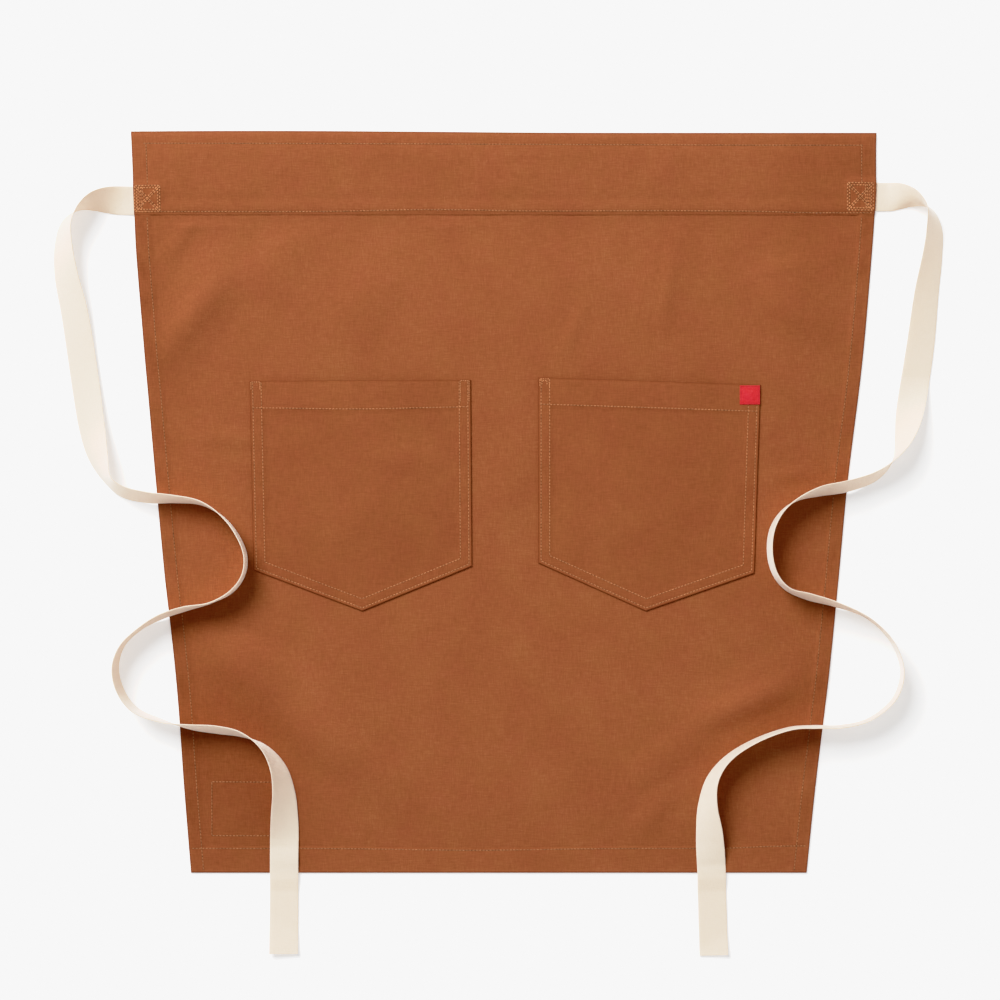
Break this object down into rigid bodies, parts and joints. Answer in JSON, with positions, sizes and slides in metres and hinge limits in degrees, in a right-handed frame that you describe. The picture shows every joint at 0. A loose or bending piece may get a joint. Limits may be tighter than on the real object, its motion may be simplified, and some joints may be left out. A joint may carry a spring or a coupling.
{
  "type": "bistro apron",
  "caption": "Flat-laid waist apron: tapered cloth panel on a wide band, pointed patch pockets with a small woven tab, and long tape ties lying in loose loops.",
  "frame": {"origin": "on the surface the apron lies on, on the waistband's centre line and halfway between the waistband's top edge and the bottom hem", "axes": "+X along the waistband to the wearer's left as seen from the front, +Y up the apron to the waistband, +Z away from the surface, out of the front"},
  "size_m": [0.9092, 0.8406, 0.0318],
  "materials": {
    "canvas": "plain woven cotton canvas, matt, self-coloured topstitching",
    "cotton_tape": "undyed cotton twill tape, matt",
    "tab_weave": "plain red woven tab, slight sheen"
  },
  "bodies": {
    "root": {"apron_panel": "canvas", "waistband": "canvas", "pocket_left": "canvas", "pocket_right": "canvas", "pocket_tab": "tab_weave", "tie_left": "cotton_tape", "tie_right": "cotton_tape"}
  },
  "joints": []
}
